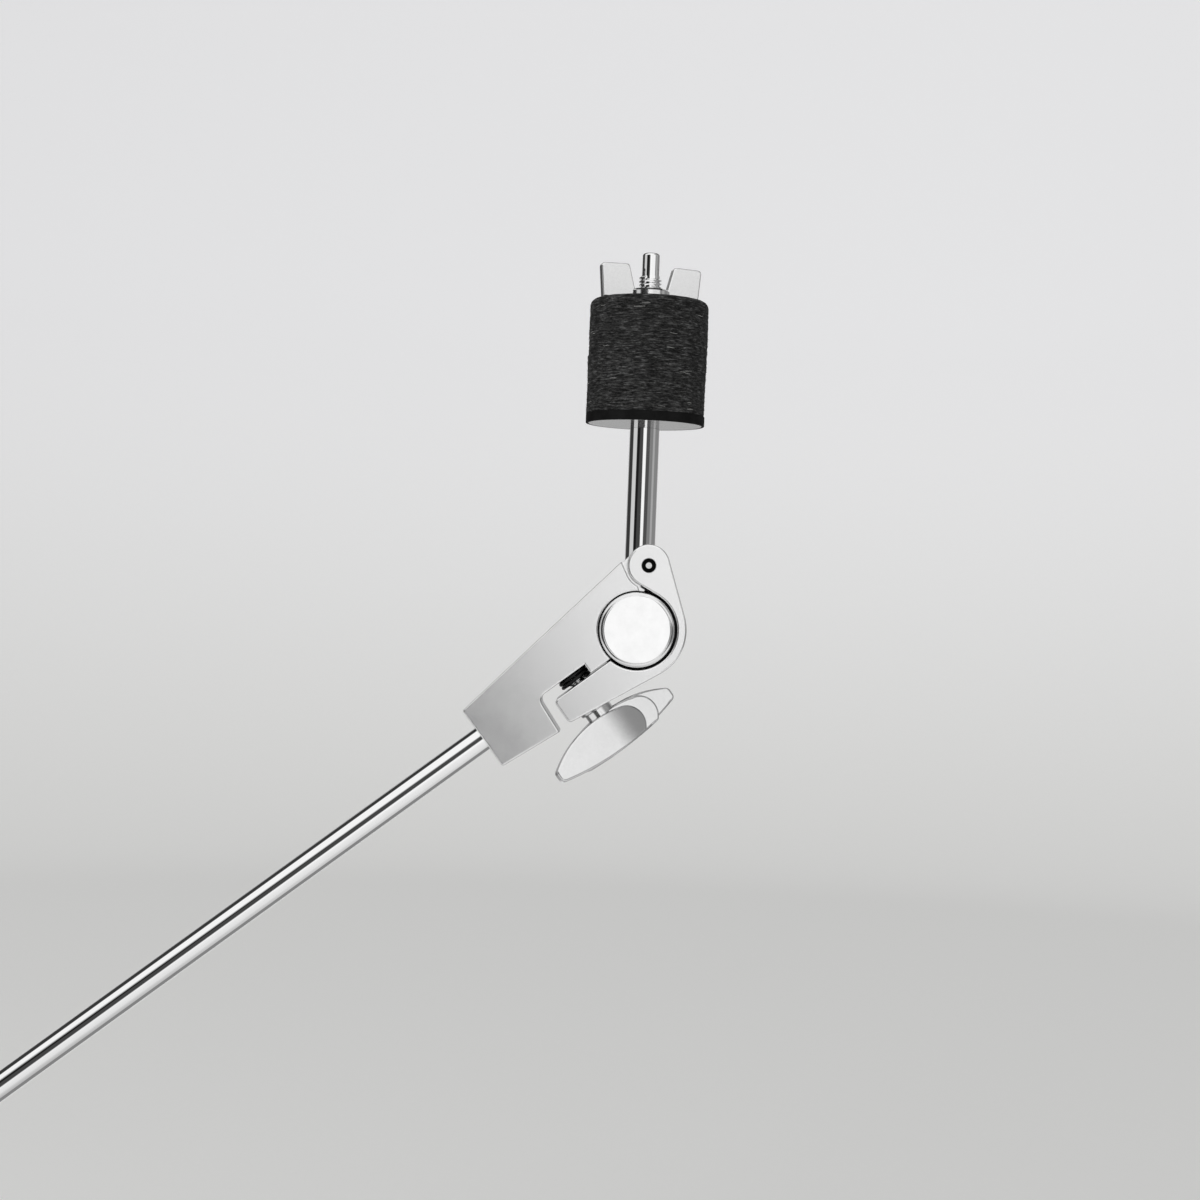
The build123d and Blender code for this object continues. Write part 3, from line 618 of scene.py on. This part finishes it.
felt = felt_finish("charcoal_pressed_felt")
fibre = fibre_finish("charcoal_felt_fibres")
lower = felt_puck(
    "lower_felt_puck", "lower_felt", "tilter", felt, 11,
    bottom_round=0.25, top_round=0.4, flare=0.3,
)
upper = felt_puck(
    "upper_felt_puck", "upper_felt", "lifting_felt", felt, 23,
    bottom_round=0.4, top_round=2.4, flare=0.0,
)
COUNTS = {"grey": 1500, "standing": 2200}
felt_fibres("lower_felt_fibres", lower, "tilter", fibre, 31, white=26, **COUNTS)
felt_fibres("upper_felt_fibres", upper, "lifting_felt", fibre, 47, white=20, **COUNTS)


def coil_spring(name, made):
    """The black coil between body and jaw, on the wing screw's axis."""
    low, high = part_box("jaw_spring")
    middle = (low + high) / 2
    on_axis = SCREW_SEAT + SCREW_AXIS * (middle - SCREW_SEAT).dot(SCREW_AXIS)
    radius, wire, span = 5.2 * MM, 0.66 * MM, 8.0 * MM
    turns, first_angle = 5.8, 0.6
    steps, sides = 420, 14
    share = np.linspace(0, 1, steps)
    height = span * (share - 0.5)
    angle = 2 * math.pi * turns * share + first_angle
    axis = np.array(SCREW_AXIS)
    first = np.array(TOWARDS_VIEWER)
    second = np.cross(axis, first)
    spoke = np.outer(np.cos(angle), first) + np.outer(np.sin(angle), second)
    path = np.array(on_axis) + height[:, None] * axis + radius * spoke
    run = np.gradient(path, axis=0)
    run /= np.linalg.norm(run, axis=1)[:, None]
    other = np.cross(run, spoke)
    steps_from_end = np.minimum(share, 1 - share) * steps
    size = wire * np.sqrt(np.clip(steps_from_end / 3 + 0.25, 0, 1))
    points = tube_points(path, spoke, other, size[:, None], sides)
    faces = grid_faces(steps, sides).tolist()
    faces += [list(range(sides))[::-1], list(range((steps - 1) * sides, steps * sides))]
    coil = mesh_object(name, points, faces, made)
    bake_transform(coil)
    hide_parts("jaw_spring")


coil_spring("jaw_spring_coil", spring_finish("black_spring_wire"))

# ---------------------------------------------------------------- studio


def studio_bowl():
    """A pale floor that curves up into a wall all round, seen by the camera only. It
    glows a little, but lights nothing."""
    floor_z = -0.10
    flat, bend, top = 1.3, 0.6, 2.6
    outline = [(0.002, floor_z), (0.4, floor_z), (0.8, floor_z), (flat, floor_z)]
    for i in range(1, 25):
        angle = math.radians(90 * i / 24)
        outline.append((flat + bend * math.sin(angle), floor_z + bend * (1 - math.cos(angle))))
    outline.append((flat + bend, top))
    columns = 96
    angle = np.arange(columns) / columns * 2 * math.pi
    rows = np.array(outline)
    x = DRUM.x + rows[:, 0:1] * np.cos(angle)
    y = rows[:, 0:1] * np.sin(angle)
    z = rows[:, 1:2] * np.ones(columns)
    points = np.stack([x, y, z], axis=-1).reshape(-1, 3)
    made, s = material("pale_studio_paper")
    height = s.add("ShaderNodeSeparateXYZ", {0: s.place()}, out=2)
    floor_tone, wall_tone = (0.75, 0.75, 0.74), (0.87, 0.87, 0.88)
    tone = s.ramp(s.smooth(height, floor_z, 0.60), [(0.0, floor_tone), (1.0, wall_tone)])
    speck = s.noise(s.place(), 3, 4, 0.6)
    tone = s.tint(1.0, tone, s.ramp(speck, [(0.3, 0.992), (0.7, 1.0)]), "MULTIPLY")
    s.surface(
        base_color=tone,
        roughness=0.95,
        normal=s.bump(speck, 0.05, 0.1),
        specular_ior_level=0.0,
        emission_color=tone,
        emission_strength=0.19,
    )
    made.cycles.emission_sampling = "NONE"
    bowl = mesh_object("studio_bowl", points, grid_faces(len(rows), columns).tolist(), made)
    bowl.visible_diffuse = False
    bowl.visible_glossy = False
    bowl.visible_transmission = False
    bowl.visible_shadow = False


def studio_world():
    """Softboxes and dark gaps round the object, which are what the chrome shows. Azimuth
    is 0 towards the camera and grows to the right, and all angles are in degrees."""
    world = bpy.data.worlds.new("studio")
    bpy.context.scene.world = world
    world.use_nodes = True
    s = Shader(world.node_tree)
    direction = s.add("ShaderNodeTexCoord")
    x, y, z = s.add("ShaderNodeSeparateXYZ", {0: direction}).node.outputs
    ahead = s.math("MULTIPLY", y, -1.0)
    azimuth = s.math("MULTIPLY", s.math("ARCTAN2", x, ahead), 180 / math.pi)
    elevation = s.math("MULTIPLY", s.math("ARCSINE", z), 180 / math.pi)
    off_axis = s.math("MULTIPLY", s.math("ARCCOSINE", ahead), 180 / math.pi)

    # far above and below, a plain gradient; near the horizon, upright strips
    gradient = s.ramp(
        s.smooth(elevation, -90, 90),
        [(0.0, 0.45), (0.12, 0.80), (0.35, 0.92), (0.65, 0.97), (0.85, 1.0), (1.0, 1.05)],
    )
    strips = [
        (-180, 0.40), (-152, 0.40), (-146, 0.18), (-99, 0.18), (-96, 0.64), (-60, 0.64),
        (-56, 0.012), (-19, 0.012), (-16, 1.0), (15, 1.0), (18.5, 0.08), (43, 0.08),
        (47, 0.22), (71, 0.22), (76, 0.40), (106, 0.40), (111, 0.28), (146, 0.28),
        (152, 0.40), (180, 0.40),
    ]
    stops = [((angle + 180) / 360, value) for angle, value in strips]
    bands = s.ramp(s.math("DIVIDE", s.math("ADD", azimuth, 180.0), 360.0), stops)
    level = s.smooth(s.math("ABSOLUTE", elevation), 14, 25, 1.0, 0.0)
    colour = s.tint(level, gradient, bands)

    # the dark strips right of the camera end just above the horizon
    above = s.math("MULTIPLY", s.smooth(elevation, 5, 8), s.window(azimuth, (12, 17), (55, 65)))
    colour = s.tint(above, colour, gradient)

    # a dark ring just behind the object, darkest above the boom, outlines the rods
    uphill = s.measure("DOT_PRODUCT", direction, ACROSS_BOOM)
    rim = s.window(off_axis, (90, 98), (140, 150))
    shade = s.smooth(uphill, -0.3, 0.3, 0.24, 0.04)
    colour = s.tint(rim, colour, s.add("ShaderNodeCombineColor", {0: shade, 1: shade, 2: shade}))

    # a grey patch at the upper right
    side = s.window(azimuth, (26, 62), (100, 115))
    side = s.math("MULTIPLY", side, s.window(elevation, (12, 26), (46, 56)))
    colour = s.tint(side, colour, rgb(0.30))

    # a dark gap left of the camera, square to the boom, puts the stripe on the boom rod
    cos_b, sin_b = math.cos(BOOM_SLOPE), math.sin(BOOM_SLOPE)
    right, up = s.math("MULTIPLY", azimuth, cos_b), s.math("MULTIPLY", elevation, sin_b)
    along = s.math("ADD", right, up)
    right, up = s.math("MULTIPLY", azimuth, sin_b), s.math("MULTIPLY", elevation, cos_b)
    across = s.math("SUBTRACT", up, right)
    gap = s.window(along, (-46, -36), (-4.6, -2.2))
    gap = s.math("MULTIPLY", gap, s.window(across, (-13, -9), (23, 27)))
    colour = s.tint(gap, colour, rgb(0.06))

    background = s.add("ShaderNodeBackground", {"Color": colour, "Strength": 1.0})
    s.add("ShaderNodeOutputWorld", {"Surface": background})
    world.cycles.sampling_method = "MANUAL"
    world.cycles.sample_map_resolution = 1024


def key_light():
    """A large area light that shapes the felts; the chrome doesn't mirror it."""
    light = bpy.data.lights.new("key_light", "AREA")
    light.shape = "RECTANGLE"
    light.size, light.size_y = 0.9, 0.7
    light.energy = 4.0
    lamp = bpy.data.objects.new("key_light", light)
    lamp.location = (-0.5, -0.9, 0.95)
    lamp.rotation_euler = (DRUM - Vector(lamp.location)).to_track_quat("-Z", "Y").to_euler()
    lamp.visible_glossy = False
    bpy.context.scene.collection.objects.link(lamp)


def photo_camera():
    """The camera faces the drum's cap from 0.69 m, rolled 2.2 degrees, with a 60 mm lens."""
    camera = bpy.data.objects.new("camera", bpy.data.cameras.new("camera"))
    camera.data.lens = 60
    camera.data.sensor_width = 36
    camera.data.clip_start = 0.01
    camera.location = DRUM + Vector((-0.01303, -0.693, 0.00977))
    camera.rotation_euler = (math.radians(90), math.radians(-2.2), 0)
    bpy.context.scene.collection.objects.link(camera)
    bpy.context.scene.camera = camera


studio_bowl()
studio_world()
key_light()
photo_camera()
bpy.context.scene.view_settings.view_transform = "Standard"
